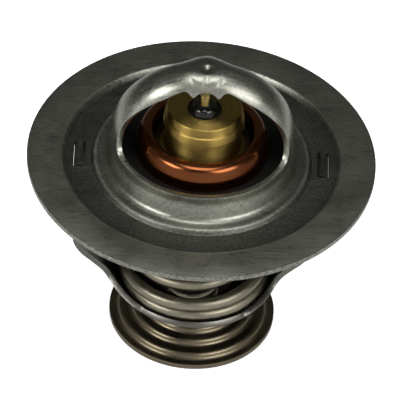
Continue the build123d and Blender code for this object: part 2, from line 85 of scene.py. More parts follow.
# edges that turn by more than this many degrees are eased on sheet and sharp on turned work
EASED_FROM = 50
SHARP_FROM = 35


def half_width_mm(node):
    """Half the width of a node of the frame along X, in millimetres."""
    low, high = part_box(node)
    return round((high.x - low.x) / 2 / MM, 3)


def top_mm(node):
    """Height of the top of a node of the frame, in millimetres."""
    return round(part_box(node)[1].z / MM, 3)


def bottom_mm(node):
    """Height of the bottom of a node of the frame, in millimetres."""
    return round(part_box(node)[0].z / MM, 3)


# ---------------------------------------------------------------- settings
def length(name, description, millimetres):
    """Property for a length that is given in millimetres."""
    return bpy.props.FloatProperty(
        name=name, description=description, default=millimetres * MM, unit="LENGTH",
        precision=5,
    )


def linear(code):
    """sRGB hex value as linear red, green and blue."""
    channels = [int(code[i : i + 2], 16) / 255 for i in (1, 3, 5)]
    return tuple(c / 12.92 if c <= 0.04045 else ((c + 0.055) / 1.055) ** 2.4 for c in channels)


def colour(name, description, code):
    """Property for a colour that is given as an sRGB hex value."""
    return bpy.props.FloatVectorProperty(
        name=name, description=description, default=linear(code), subtype="COLOR", size=3,
        min=0.0, max=1.0,
    )


class FlangeSettings(bpy.types.PropertyGroup):
    radius: length("Flange radius", "Radius of the flange's edge", half_width_mm("flange"))
    sheet: length("Sheet", "Thickness of the pressed sheet", 1.0)
    recess: length("Recess radius", "Radius where the outer ring steps down", 25.6)
    depth: length("Recess depth", "Depth of the recess under the outer ring", 1.0)
    collar: length("Collar radius", "Outer radius of the collar at its rim", 16.5)
    rim: length("Rim height", "Height of the collar between the bridge's feet", 4.6)
    springing: length("Springing height", "Height where the bridge begins to arch", 6.2)
    crest: length("Crest height", "Height of the bridge over the dimple of its punch", 21.4)
    socket_mouth: length("Socket mouth", "Height of the mouth of the pin's socket", 15.7)
    slot_radius: length("Slot radius", "Distance of the slots from the axis", 22.4)
    steel: colour("Steel", "Colour of the rolled sheet", "#A3A399")


class CageSettings(bpy.types.PropertyGroup):
    seat: length("Seat level", "Height of the spring's seat", -29.3)
    sheet: length("Sheet", "Thickness of the frame's sheet", 1.0)
    arm_half: length("Arm half width", "Half the width of the arms", 4.6)
    tab_half: length("Tab half width", "Half the width of the tabs in the slots", 3.2)
    steel: colour("Steel", "Colour of the frame's sheet", "#6B6963")


class ElementSettings(bpy.types.PropertyGroup):
    pin: length("Pin radius", "Radius of the piston pin", half_width_mm("piston_pin"))
    dish_inside: length("Dish inside radius", "Radius inside the dish's wall", 9.2)
    dish_crest: length("Dish crest", "Height of the corner of the dish's crest", 6.9)
    brass: colour("Brass", "Colour of the turned brass guide", "#AB9150")
    copper: colour("Copper", "Colour of the valve dish", "#7A472A")


class SpringSettings(bpy.types.PropertyGroup):
    wire: length("Wire", "Diameter of the main spring's wire", 2.4)
    bypass_wire: length("Bypass wire", "Diameter of the bypass spring's wire", 1.1)
    steel: colour("Wire colour", "Colour of the stainless wire", "#878272")


class BypassSettings(bpy.types.PropertyGroup):
    rim_radius: length("Rim radius", "Radius of the valve's rim", half_width_mm("bypass_valve"))
    crown: length("Crown level", "Height of the middle of the disc", -35.5)
    step: length("Step", "Height of each step of the disc", 1.15)
    sheet: length("Sheet", "Thickness of the disc's sheet", 1.05)
    steel: colour("Steel", "Colour of the pressed disc", "#726957")


class StudioSettings(bpy.types.PropertyGroup):
    floor: colour("Floor", "Colour of the floor", "#F2F2F2")
    room: colour("Room", "Colour of the room above the floor", "#50524E")


# ---------------------------------------------------------------- mesh helpers
def rounded(points, arc_steps=6):
    """Outline of (radius, height, bend) points with an arc of that bend at each corner."""
    corners = [Vector((point[0], point[1], 0)) for point in points]
    outline = [corners[0]]
    for before, corner, after, point in zip(corners, corners[1:], corners[2:], points[1:]):
        bend = point[2] if len(point) > 2 else 0
        way_in = (corner - before).normalized()
        way_out = (after - corner).normalized()
        half_turn = way_in.angle(way_out) / 2
        if bend == 0 or half_turn < 0.01:
            outline.append(corner)
            continue
        shorter = min((corner - before).length, (after - corner).length)
        reach = min(bend * tan(half_turn), 0.49 * shorter)
        radius = reach / tan(half_turn)
        centre = corner + (way_out - way_in).normalized() * (radius / cos(half_turn))
        arm = corner - way_in * reach - centre
        turn = 2 * half_turn if way_in.cross(way_out).z > 0 else -2 * half_turn
        for step in range(arc_steps + 1):
            outline.append(centre + Matrix.Rotation(turn * step / arc_steps, 3, "Z") @ arm)
    outline.append(corners[-1])
    return [(p.x, p.y) for p in outline]


def spun(outline, steps=RING_STEPS):
    """Mesh of an outline of (radius, height) in the XZ plane, turned once round Z."""
    mesh = bmesh.new()
    verts = [mesh.verts.new((r * MM, 0, z * MM)) for r, z in outline]
    edges = [mesh.edges.new(pair) for pair in zip(verts, verts[1:])]
    bmesh.ops.spin(
        mesh, geom=verts + edges, cent=(0, 0, 0), axis=(0, 0, 1), dvec=(0, 0, 0),
        angle=2 * pi, steps=steps, use_merge=True, use_duplicate=False,
    )
    bmesh.ops.remove_doubles(mesh, verts=mesh.verts, dist=0.002 * MM)
    bmesh.ops.recalc_face_normals(mesh, faces=mesh.faces)
    return mesh


def put_in_scene(name, data):
    """Object in the scene for a mesh, curve, lamp or camera."""
    obj = bpy.data.objects.new(name, data)
    bpy.context.scene.collection.objects.link(obj)
    return obj


def add_piece(name, mesh, material, body, nodes=()):
    """Object from a bmesh, riding on a body and standing for its nodes of the frame."""
    data = bpy.data.meshes.new(name)
    mesh.to_mesh(data)
    mesh.free()
    if not data.polygons:
        raise RuntimeError(f"{name} has no faces")
    data.shade_smooth()
    data.materials.append(material)
    obj = put_in_scene(name, data)
    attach(obj, body)
    if nodes:
        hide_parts(*nodes)
    return obj


def add_turned(name, points, material, body, nodes=(), steps=160):
    """Closed turned piece from an outline of (radius, height, bend) points."""
    mesh = spun(rounded(points + points[:1]), steps)
    obj = add_piece(name, mesh, material, body, nodes)
    obj.data.set_sharp_from_angle(angle=radians(SHARP_FROM))
    return obj


def add_pressed(name, mesh, sheet, lies_under, material, body, nodes=()):
    """Pressed sheet from one surface: the metal lies on its far side from a direction.

    lies_under is (point, way): the face nearest to the point looks that way.
    """
    bmesh.ops.recalc_face_normals(mesh, faces=mesh.faces)
    point, way = Vector(lies_under[0]) * MM, Vector(lies_under[1])
    nearest = min(mesh.faces, key=lambda f: (f.calc_center_median() - point).length)
    if nearest.normal.dot(way) < 0:
        bmesh.ops.reverse_faces(mesh, faces=mesh.faces)
    obj = add_piece(name, mesh, material, body, nodes)
    thicken = obj.modifiers.new("Sheet", "SOLIDIFY")
    thicken.thickness = sheet * MM
    thicken.offset = -1.0
    thicken.use_even_offset = True
    ease = obj.modifiers.new("Eased edges", "BEVEL")
    ease.width = EDGE_ROUND * MM
    ease.segments = 2
    ease.limit_method = "ANGLE"
    ease.angle_limit = radians(EASED_FROM)
    return obj


def between(stations, at, column):
    """Smooth value of a column at a place along stations, by cubic Hermite runs."""
    count = len(stations)
    index = 0
    while index < count - 2 and at > stations[index + 1][0]:
        index += 1
    low, high = stations[index], stations[index + 1]
    span = high[0] - low[0]
    t = min(max((at - low[0]) / span, 0), 1)
    slopes = []
    for k in (index, index + 1):
        before, after = stations[max(k - 1, 0)], stations[min(k + 1, count - 1)]
        slopes.append((after[column] - before[column]) / (after[0] - before[0]))
    rise = t * t * (3 - 2 * t)
    return (
        low[column] + (high[column] - low[column]) * rise
        + span * t * (1 - t) * ((1 - t) * slopes[0] - t * slopes[1])
    )


def ring_chain(mesh, radius, height, middle, half_angle):
    """Vertices of a spun ring within an angle of a middle direction, in order."""
    found = []
    for vert in mesh.verts:
        r, z = hypot(vert.co.x, vert.co.y) / MM, vert.co.z / MM
        off = (degrees(atan2(vert.co.y, vert.co.x)) - middle + 180) % 360 - 180
        if abs(r - radius) < 0.01 and abs(z - height) < 0.01 and abs(off) < half_angle + 0.01:
            found.append((off, vert))
    return [vert for off, vert in sorted(found, key=lambda pair: pair[0])]


def grow_strip(mesh, chain, sections):
    """Bridges a chain of vertices to each section of points in turn; returns the last chain."""
    for section in sections:
        fresh = [mesh.verts.new(Vector(point) * MM) for point in section]
        for pair in zip(fresh, fresh[1:]):
            mesh.edges.new(pair)
        join_chains(mesh, chain, fresh)
        chain = fresh
    return chain


def join_chains(mesh, chain, other):
    """Row of faces between two chains of as many vertices."""
    edges = [mesh.edges.get(pair) for row in (chain, other) for pair in zip(row, row[1:])]
    bmesh.ops.bridge_loops(mesh, edges=edges)


def cut_slot(mesh, centre, half_width, half_length, side):
    """Opens a slot in the recess of the flange: four cuts, and the faces inside them go."""
    near = [
        face for face in mesh.faces
        if side * face.calc_center_median().x > (centre - 3) * MM
        and abs(face.calc_center_median().y) < 2 * half_length * MM
        and face.calc_center_median().z < 0
    ]
    cuts = [((side * (centre + off), 0, 0), (1, 0, 0)) for off in (-half_width, half_width)]
    cuts += [((0, off, 0), (0, 1, 0)) for off in (-half_length, half_length)]
    for point, normal in cuts:
        geom = set(near)
        for face in near:
            geom.update(face.verts)
            geom.update(face.edges)
        cut = bmesh.ops.bisect_plane(
            mesh, geom=list(geom), dist=1e-7, plane_co=Vector(point) * MM, plane_no=normal
        )
        near = [g for g in cut["geom"] if isinstance(g, bmesh.types.BMFace)]
    inside = []
    for face in near:
        middle = face.calc_center_median() / MM
        if abs(side * middle.x - centre) < half_width and abs(middle.y) < half_length:
            inside.append(face)
    bmesh.ops.delete(mesh, geom=inside, context="FACES")


def dress(node, material):
    """Gives a node of the frame a material."""
    data = frame["nodes"][node].data
    data.materials.clear()
    data.materials.append(material)


# ---------------------------------------------------------------- materials
def plug(tree, node, sockets):
    """Gives the inputs of a node their links and values."""
    for name, value in sockets.items():
        if isinstance(value, bpy.types.NodeSocket):
            tree.links.new(value, node.inputs[name])
        else:
            node.inputs[name].default_value = value


def add(tree, kind, sockets=None, stops=(), **settings):
    """Adds a shader node with its settings, values and links, and a ramp's ascending stops."""
    node = tree.nodes.new(kind)
    for name, value in settings.items():
        setattr(node, name, value)
    plug(tree, node, sockets or {})
    for index, (place, shade) in enumerate(stops):
        elements = node.color_ramp.elements
        element = elements[index] if index < min(len(stops), 2) else elements.new(place)
        element.position = place
        element.color = (*shade, 1)
    return node


def surface(material):
    """Node tree of a material and its Principled surface."""
    return material.node_tree, material.node_tree.nodes["Principled BSDF"]


def new_material(name):
    """Material with its node tree and Principled surface."""
    material = bpy.data.materials.new(name)
    material.use_nodes = True
    return material, *surface(material)


def tint(shade, factor):
    """A shade made darker or paler by a factor."""
    return tuple(min(channel * factor, 1.0) for channel in shade)


def bare_metal(name, shade, rough, grain_mm, relief, blotch_mm=9.0, dirt=0.25, spread=0.12):
    """Bare metal with a grain, blotches of handling and a fine relief.

    grain_mm is the length of the grain along X, Y and Z, rough the middle of the roughness
    and spread how far it strays to each side.
    """
    material, tree, shader = new_material(name)
    place = add(tree, "ShaderNodeTexCoord").outputs["Object"]
    along = add(
        tree, "ShaderNodeMapping",
        {"Vector": place, "Scale": tuple(1 / (size * MM) for size in grain_mm)},
    ).outputs["Vector"]
    grain = add(
        tree, "ShaderNodeTexNoise",
        {"Vector": along, "Scale": 1.0, "Detail": 4.0, "Roughness": 0.6},
    ).outputs["Fac"]
    blotch = add(
        tree, "ShaderNodeTexNoise",
        {"Vector": place, "Scale": 1 / (blotch_mm * MM), "Detail": 5.0, "Roughness": 0.62},
    ).outputs["Fac"]
    mixed = add(
        tree, "ShaderNodeMix", {"Factor": 0.45, "A": grain, "B": blotch}, data_type="FLOAT"
    ).outputs["Result"]
    base = add(
        tree, "ShaderNodeValToRGB", {"Fac": mixed},
        [(0.30, tint(shade, 1 - dirt)), (0.5, shade), (0.72, tint(shade, 1 + 0.5 * dirt))],
    ).outputs["Color"]
    sheen = add(
        tree, "ShaderNodeMapRange",
        {"Value": mixed, "From Min": 0.3, "From Max": 0.7, "To Min": rough - spread,
         "To Max": rough + spread},
    ).outputs["Result"]
    bump = add(
        tree, "ShaderNodeBump", {"Height": grain, "Strength": relief, "Distance": 0.05 * MM}
    ).outputs["Normal"]
    plug(
        tree, shader, {"Base Color": base, "Metallic": 1.0, "Roughness": sheen, "Normal": bump}
    )
    return material


def off_axis(tree, place):
    """Distance from the axis of the valve."""
    flat = add(
        tree, "ShaderNodeVectorMath", {0: place, 1: (1, 1, 0)}, operation="MULTIPLY"
    ).outputs[0]
    return add(tree, "ShaderNodeVectorMath", {0: flat}, operation="LENGTH").outputs["Value"]


# Cold rolled steel sheet, pressed: the rolling leaves a fine grain along the bridge, the
# outer ring is rubbed bright by handling, and the recess keeps its dark oily scale.
def rolled_sheet(shade, flange):
    def rings(*stops):
        """Stops of a ramp of greys from (radius in mm, grey) pairs."""
        return [(radius / flange, (grey,) * 3) for radius, grey in stops]

    material = bare_metal(
        "cold rolled steel sheet", shade, 0.34, (9.0, 0.22, 3.0), 0.3, blotch_mm=8, dirt=0.3
    )
    tree, shader = surface(material)
    base = shader.inputs["Base Color"].links[0].from_socket
    sheen = shader.inputs["Roughness"].links[0].from_socket
    place = add(tree, "ShaderNodeTexCoord").outputs["Object"]
    share = add(
        tree, "ShaderNodeMath", {0: off_axis(tree, place), 1: flange * MM}, operation="DIVIDE"
    ).outputs[0]

    # from the bridge over the collar and the dark recess to the rubbed ring and edge
    # painted highlights on the collar and on its ridge, painted shade in the groove between them
    # and on the edge face
    painted_light_zones = add(
        tree, "ShaderNodeValToRGB", {"Fac": share},
        rings(
            (12.0, 0.84), (16.6, 1.0), (17.6, 0.8), (19.0, 0.5), (19.6, 1.0), (19.95, 0.36),
            (24.9, 0.28), (25.3, 1.0), (25.9, 0.92), (31.7, 0.95), (31.98, 0.7),
        ),
    ).outputs["Color"]
    zoned_with_painted_light = add(
        tree, "ShaderNodeMix", {"Factor": 1.0, "A": base, "B": painted_light_zones},
        data_type="RGBA", blend_type="MULTIPLY",
    ).outputs["Result"]

    # short dark pick-up marks of the roll, strongest on the inner half of the ring
    mark_mm = (2.2, 0.3, 10.0)
    marks_place = add(
        tree, "ShaderNodeMapping",
        {"Vector": place, "Scale": tuple(1 / (size * MM) for size in mark_mm)},
    ).outputs["Vector"]
    marks = add(
        tree, "ShaderNodeTexNoise", {"Vector": marks_place, "Scale": 1.0, "Detail": 3.0}
    ).outputs["Fac"]
    marked = add(
        tree, "ShaderNodeValToRGB", {"Fac": marks}, [(0.33, (0.62,) * 3), (0.47, (1.0,) * 3)]
    ).outputs["Color"]
    band = add(
        tree, "ShaderNodeValToRGB", {"Fac": share},
        rings((25.6, 0.25), (27.0, 1.0), (28.4, 1.0), (30.5, 0.3)),
    ).outputs["Color"]
    finished = add(
        tree, "ShaderNodeMix", {"Factor": band, "A": zoned_with_painted_light, "B": marked},
        data_type="RGBA", blend_type="MULTIPLY",
    ).outputs["Result"]

    # pitted scale and bright rubbed specks in the recess and on the collar; along the edge the
    # bright specks are painted glints
    speck = add(
        tree, "ShaderNodeTexNoise", {"Vector": place, "Scale": 1 / (0.5 * MM), "Detail": 3.0}
    ).outputs["Fac"]
    specks_and_glints = add(
        tree, "ShaderNodeValToRGB", {"Fac": speck},
        [(0.38, (0.55,) * 3), (0.5, (1.0,) * 3), (0.62, (1.0,) * 3), (0.72, (1.9,) * 3)],
    ).outputs["Color"]
    wear_and_glint_mask = add(
        tree, "ShaderNodeValToRGB", {"Fac": share},
        rings(
            (15.9, 0.45), (17.6, 0.35), (20.0, 0.65), (25.2, 0.65), (26.0, 0.15), (31.7, 0.2),
            (31.95, 1.0),
        ),
    ).outputs["Color"]
    pitted_and_glinting = add(
        tree, "ShaderNodeMix", {"Factor": wear_and_glint_mask, "A": finished, "B": specks_and_glints},
        data_type="RGBA", blend_type="MULTIPLY",
    ).outputs["Result"]

    # the scale in the recess is duller than the rubbed metal round it
    duller = add(
        tree, "ShaderNodeValToRGB", {"Fac": share},
        rings((17.0, 0.0), (20.2, 0.14), (25.0, 0.14), (25.4, 0.04)),
    ).outputs["Color"]
    rougher = add(tree, "ShaderNodeMath", {0: sheen, 1: duller}, operation="ADD").outputs[0]
    plug(tree, shader, {"Base Color": pitted_and_glinting, "Roughness": rougher})
    return material


def paint_shadow_middle(material, dark_mm, clear_mm):
    """Painted shadow over the sheltered middle, out to a radius, fading from there."""
    tree, shader = surface(material)
    base = shader.inputs["Base Color"].links[0].from_socket
    place = add(tree, "ShaderNodeTexCoord").outputs["Object"]
    unshadowed = add(
        tree, "ShaderNodeMapRange",
        {"Value": off_axis(tree, place), "From Min": dark_mm * MM, "From Max": clear_mm * MM,
         "To Min": 0.12, "To Max": 1.0},
    ).outputs["Result"]
    shadowed = add(
        tree, "ShaderNodeMix", {"Factor": 1.0, "A": base, "B": unshadowed},
        data_type="RGBA", blend_type="MULTIPLY",
    ).outputs["Result"]
    plug(tree, shader, {"Base Color": shadowed})


def fine_grained(name, grain_mm, shades, sheens):
    """Material that is no metal, with a fine grain in its colour and its sheen.

    shades are the stops of the colour, sheens the lowest and the highest roughness. Returns
    the material and the grain.
    """
    material, tree, shader = new_material(name)
    place = add(tree, "ShaderNodeTexCoord").outputs["Object"]
    grain = add(
        tree, "ShaderNodeTexNoise", {"Vector": place, "Scale": 1 / (grain_mm * MM), "Detail": 3.0}
    ).outputs["Fac"]
    base = add(tree, "ShaderNodeValToRGB", {"Fac": grain}, shades).outputs["Color"]
    sheen = add(
        tree, "ShaderNodeMapRange",
        {"Value": grain, "From Min": 0.3, "From Max": 0.7, "To Min": sheens[0],
         "To Max": sheens[1]},
    ).outputs["Result"]
    plug(tree, shader, {"Base Color": base, "Roughness": sheen})
    return material, grain


# Moulded rubber, plastic and wax: a soft sheen, broken by the fine texture of the mould.
def moulded(name, shade, rough):
    material, grain = fine_grained(
        name, 0.5, [(0.35, tint(shade, 0.7)), (0.65, tint(shade, 1.4))],
        (rough - 0.08, rough + 0.08),
    )
    tree, shader = surface(material)
    bump = add(
        tree, "ShaderNodeBump", {"Height": grain, "Strength": 0.2, "Distance": 0.03 * MM}
    ).outputs["Normal"]
    plug(tree, shader, {"Normal": bump})
    return material


# ---------------------------------------------------------------- flange
# half the angle that each foot of the bridge takes of the collar's rim, in degrees
FOOT_ANGLE = 27
SLOT_HALF_WIDTH = 1.0
SLOT_HALF_LENGTH = 3.4
# the lift in degrees where the legs end and the crown begins, and the rows on each
CROWN_FROM = 66
LEG_ROWS = 21
CROWN_ROWS = 61
DIMPLE_RADIUS = 1.5
DIMPLE_DEPTH = 0.55
DIP_RADIUS = 3.4
DIP_DEPTH = 0.25
CREASE_DEPTH = 0.12
TEETH_HALF_WIDTH = 4.35
TEETH_LEAN = -0.5
# how far the crown's front edge hangs down, against the distance from its middle
TEETH_DEPTHS = [
    (0, 0.8), (0.8, 0.88), (1.5, 1.15), (2.0, 1.5), (2.3, 1.62), (2.6, 1.4), (3.0, 0.85),
    (3.5, 0.35), (3.95, 0.08), (TEETH_HALF_WIDTH, 0.02),
]


def sunk(x, y):
    """Depth that the crown is pressed in by the punch, its drag and the two creases."""
    away = hypot(x, y)
    depth = DIP_DEPTH * max(1 - (away / DIP_RADIUS) ** 2, 0) ** 2
    depth += DIMPLE_DEPTH * max(1 - (away / DIMPLE_RADIUS) ** 2, 0) ** 2
    depth += CREASE_DEPTH * exp(-((x / 0.5) ** 2) - ((y + 2.3) / 0.8) ** 2)
    for side in (-1, 1):
        line = x - side * (2.75 + 0.5 * (y + 2.2))
        depth += CREASE_DEPTH * exp(-((line / 0.3) ** 2) - ((y + 2.75) / 0.5) ** 2)
    return depth


def bridge_sections(across, collar, springing, crest):
    """Sections of the bridge from one foot to the other, each a curved row of points.

    A section is a front arc and a back arc that meet at the crest. Stations give the
    radius and the half width of each arc against the lift round the bridge.
    """
    front = [
        (0, collar, 5.2), (14, 9.5, 4.4), (32, 5.6, 4.2), (54, 4.9, 4.3), (66, 4.8, 4.15),
        (73, 4.6, 3.9), (80, 4.3, 3.6), (90, 4.0, 3.45),
    ]
    back = [
        (0, collar, 5.2), (14, 9.5, 4.3), (32, 5.6, 3.9), (54, 4.7, 3.9), (66, 4.6, 3.6),
        (73, 4.7, 3.4), (79, 6.0, 3.75), (85, 7.8, 4.45), (90, 8.5, 4.75),
    ]
    front += [(180 - lift, *sizes) for lift, *sizes in front[-2::-1]]
    back += [(180 - lift, *sizes) for lift, *sizes in back[-2::-1]]
    leg_lifts = [3 * step for step in range(1, LEG_ROWS + 1)]
    crown_lifts = [CROWN_FROM + 0.8 * step for step in range(CROWN_ROWS)]
    lifts = leg_lifts + crown_lifts + [180 - lift for lift in reversed(leg_lifts)]
    middle = across // 2
    rise = (crest - springing) / collar
    sections = []
    for lift in lifts:
        row = []
        for index in range(across):
            stations = front if index < middle else back
            radius = between(stations, lift, 1)
            reach = asin(min(between(stations, lift, 2) / radius, 0.98))
            angle = reach * (index - middle) / middle
            out = collar - radius + radius * cos(angle)
            x, y = out * cos(radians(lift)), radius * sin(angle)
            row.append((x, y, springing + rise * out * sin(radians(lift)) - sunk(x, y)))
        sections.append(row)
    return sections


class BuildFlange(bpy.types.Operator):
    """Pressed flange with its collar, the bridge over it and the pin's socket"""

    bl_idname = "thermostat.flange"
    bl_label = "Flange and bridge"

    def execute(self, context):
        settings = context.scene.thermostat_flange
        edge = settings.radius / MM
        recess = -settings.depth / MM
        ring = settings.recess / MM
        shoulder = 19.75
        collar = settings.collar / MM
        rim = settings.rim / MM
        springing = settings.springing / MM
        steel = rolled_sheet(settings.steel, edge)
        profile = [
            (edge, 0),
            (ring, 0, 0.5),
            (ring - 0.7, recess, 0.4),
            (shoulder + 0.55, recess, 0.15),
            (shoulder, -0.1, 0.45),
            (collar + 1.3, -0.15, 1.8),
            (collar, 3.2, 4.0),
            (collar, rim),
        ]
        mesh = spun(rounded(profile, 8))

        # the rim flares into the foot of the bridge in a few rows that narrow as they rise
        first = ring_chain(mesh, collar, rim, 0, FOOT_ANGLE)
        last = ring_chain(mesh, collar, rim, 180, FOOT_ANGLE)
        across = len(first)
        middle = across // 2
        rising = []
        for height, angle in ((4.72, 23.6), (5.05, 21.0), (5.6, 19.3), (springing, 18.5)):
            turns = [radians(angle * (index - middle) / middle) for index in range(across)]
            rising.append([(collar * cos(a), collar * sin(a), height) for a in turns])
        falling = [[(-x, y, z) for x, y, z in row] for row in rising[::-1]]
        crest = settings.crest / MM
        arch = bridge_sections(across, collar, springing, crest)
        chain = grow_strip(mesh, first, rising + arch + falling)
        join_chains(mesh, chain, last[::-1])
        self.add_teeth(mesh, [row[0] for row in arch])
        for side in (-1, 1):
            cut_slot(
                mesh, settings.slot_radius / MM, SLOT_HALF_WIDTH, SLOT_HALF_LENGTH, side
            )
        add_pressed(
            "flange_pressing", mesh, settings.sheet / MM,
            ((ring + 3, 0, 0), (0, 0, 1)), steel, "frame_body", ["flange"],
        )
        self.add_socket(settings, crest, steel)
        return {"FINISHED"}

    def add_teeth(self, mesh, front_edge):
        """Two teeth that hang from the front edge of the crown, with an arch between them."""
        edge = [point for point in front_edge if abs(point[0]) < TEETH_HALF_WIDTH]
        chain = [
            min(mesh.verts, key=lambda vert: (vert.co / MM - Vector(point)).length)
            for point in edge
        ]
        depths = [between(TEETH_DEPTHS, abs(point[0]), 1) for point in edge]
        rows = 5
        sections = []
        for row in range(1, rows + 1):
            share = row / rows
            sections.append(
                [
                    (x, y + TEETH_LEAN * depth * share, z - depth * share)
                    for (x, y, z), depth in zip(edge, depths)
                ]
            )
        grow_strip(mesh, chain, sections)

    def add_socket(self, settings, crest, steel):
        """Small bell under the crown, bored for the pin."""
        mouth = settings.socket_mouth / MM
        bore = half_width_mm("piston_pin") + 0.07
        bell = [
            (0, mouth + 3.5), (bore, mouth + 3.3), (bore, mouth), (1.5, mouth, 0.12),
            (1.55, mouth + 1.5, 1.0), (2.1, mouth + 2.6, 1.5), (2.7, mouth + 3.4, 1.0),
            (2.8, crest - 1.5, 0.2), (0, crest - 1.7),
        ]
        add_turned("pin_socket", bell, steel, "frame_body", (), 96)


# ---------------------------------------------------------------- lower frame
class BuildCage(bpy.types.Operator):
    """Lower frame: the spring's seat, its two arms and the tabs in the flange"""

    bl_idname = "thermostat.cage"
    bl_label = "Lower frame"

    def execute(self, context):
        settings = context.scene.thermostat_cage
        sheet = settings.sheet / MM
        seat = settings.seat / MM
        under = seat - sheet
        half = settings.arm_half / MM
        tab = settings.tab_half / MM
        # Cold formed steel sheet: darker than the flange, with the drag of the die up its arms.
        steel = bare_metal(
            "cold formed steel sheet", settings.steel, 0.36, (2.5, 2.5, 0.4), 0.25
        )
        # painted shadow over the middle of the frame's seat, under the element
        paint_shadow_middle(steel, 11.0, 14.2)
        hub_hole, floor_edge, corner = 7.7, 13.9, 15.4
        tab_shoulder = -2.0
        profile = [(hub_hole, under), (floor_edge, under, 1.2), (corner, seat)]
        mesh = spun(rounded(profile))
        # outside of an arm: radius and half width against height
        arm = [
            (seat, corner, 12.2), (seat + 0.7, 15.75, 11.2), (seat + 1.5, 16.1, 8.8),
            (seat + 2.5, 16.5, 6.5), (seat + 3.7, 17.15, 5.3), (seat + 5.1, 18.5, half + 0.2),
            (seat + 6.7, 20.2, half), (seat + 8.2, 21.4, half), (seat + 9.8, 22.3, half),
            (seat + 11.3, 22.75, half), (seat + 12.8, 22.88, half), (seat + 15, 22.9, half),
            (-8, 22.9, half),
        ]
        root_angle = degrees(asin(arm[0][2] / corner))
        heights = [seat + 0.35 * step for step in range(1, 44)] + [-8, tab_shoulder]
        # each arm's bend as it left the press: outwards of the drawing, in mm
        spring_back = {1: -0.3, -1: 1.0}
        rows = [(z, between(arm, z, 1), between(arm, z, 2)) for z in heights]
        tab_ends = (tab_shoulder + 0.01, top_mm("lower_frame"))
        rows += [(z, arm[-1][1], tab) for z in tab_ends]
        for turn in (1, -1):
            chain = ring_chain(mesh, corner, seat, 0 if turn == 1 else 180, root_angle)
            middle = (len(chain) - 1) / 2
            sections = []
            for height, radius, wide in rows:
                radius += spring_back[turn] * sin(pi * min((height - seat) / 15, 1))
                offsets = [wide * (k - middle) / middle for k in range(len(chain))]
                sections.append(
                    [(turn * sqrt(radius**2 - y * y), turn * y, height) for y in offsets]
                )
            grow_strip(mesh, chain, sections)
        add_pressed(
            "lower_frame_pressing", mesh, sheet, ((11, 0, under), (0, 0, -1)), steel,
            "frame_body", ["lower_frame"],
        )
        self.add_staking(arm[-1][1] - sheet / 2, tab, steel)
        return {"FINISHED"}

    def add_staking(self, middle_radius, tab, steel):
        """Metal that the staking punch swells out of each tab to fill its slot."""
        mesh = bmesh.new()
        low, high = -1.95, -1.3
        for side in (-1, 1):
            place = Matrix.Translation(Vector((side * middle_radius, 0, (low + high) / 2)) * MM)
            size = Matrix.Diagonal((1.9 * MM, (2 * tab + 0.3) * MM, (high - low) * MM, 1))
            bmesh.ops.create_cube(mesh, size=1.0, matrix=place @ size)
        bmesh.ops.bevel(
            mesh, geom=mesh.edges[:], offset=0.2 * MM, affect="EDGES", segments=3,
            profile=0.5, material=-1,
        )
        add_piece("staked_tabs", mesh, steel, "frame_body")


